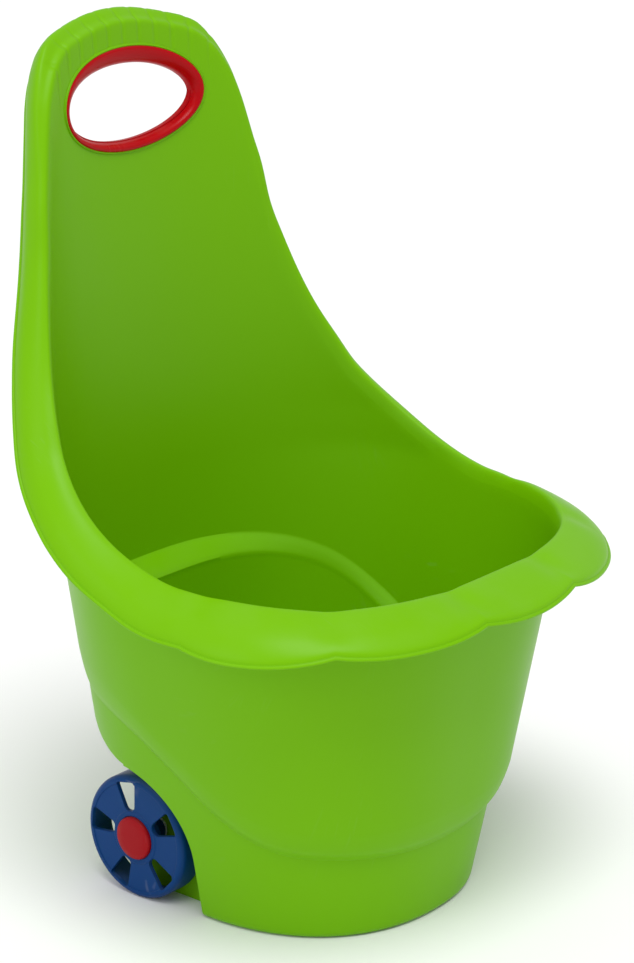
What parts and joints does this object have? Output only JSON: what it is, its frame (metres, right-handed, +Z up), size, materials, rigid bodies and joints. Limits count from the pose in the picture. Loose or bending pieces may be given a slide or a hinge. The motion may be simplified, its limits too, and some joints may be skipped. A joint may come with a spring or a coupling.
{
  "type": "garden cart",
  "caption": "Child's two-wheeled garden cart: a deep moulded tub with a petal-edged rolled rim, a tall back panel with a lined hand hole, and two spoked wheels at the rear.",
  "frame": {"origin": "middle of the overall box at ground level: the flat base and both wheels stand on Z = 0", "axes": "+Z up, the cart's front faces -Y and its panel is at +Y, X = 0 is the plane of symmetry, -X is the cart's right side"},
  "size_m": [0.3952, 0.3976, 0.6011],
  "materials": {
    "tub_green": "satin, fine moulded texture",
    "grip_red": "gloss",
    "wheel_blue": "satin",
    "steel": "drawn, zinc plated",
    "spring_steel": "blackened spring steel",
    "washer_white": "natural nylon"
  },
  "bodies": {
    "cart": {"tub_shell": "tub_green", "grip_liner_front": "grip_red", "grip_liner_back": "grip_red", "axle": "steel", "washer_right": "washer_white", "washer_left": "washer_white", "push_nut_right": "spring_steel", "push_nut_left": "spring_steel"},
    "wheel_right": {"wheel_right": "wheel_blue", "hub_cap_right": "grip_red"},
    "wheel_left": {"wheel_left": "wheel_blue", "hub_cap_left": "grip_red"}
  },
  "joints": [
    {"name": "wheel_right_spin", "type": "hinge", "parent": "cart", "child": "wheel_right", "pos_m": [-0.106, 0.05916, 0.0455], "axis": [1, 0, 0], "continuous": true},
    {"name": "wheel_left_spin", "type": "hinge", "parent": "cart", "child": "wheel_left", "pos_m": [0.106, 0.05916, 0.0455], "axis": [1, 0, 0], "continuous": true}
  ]
}
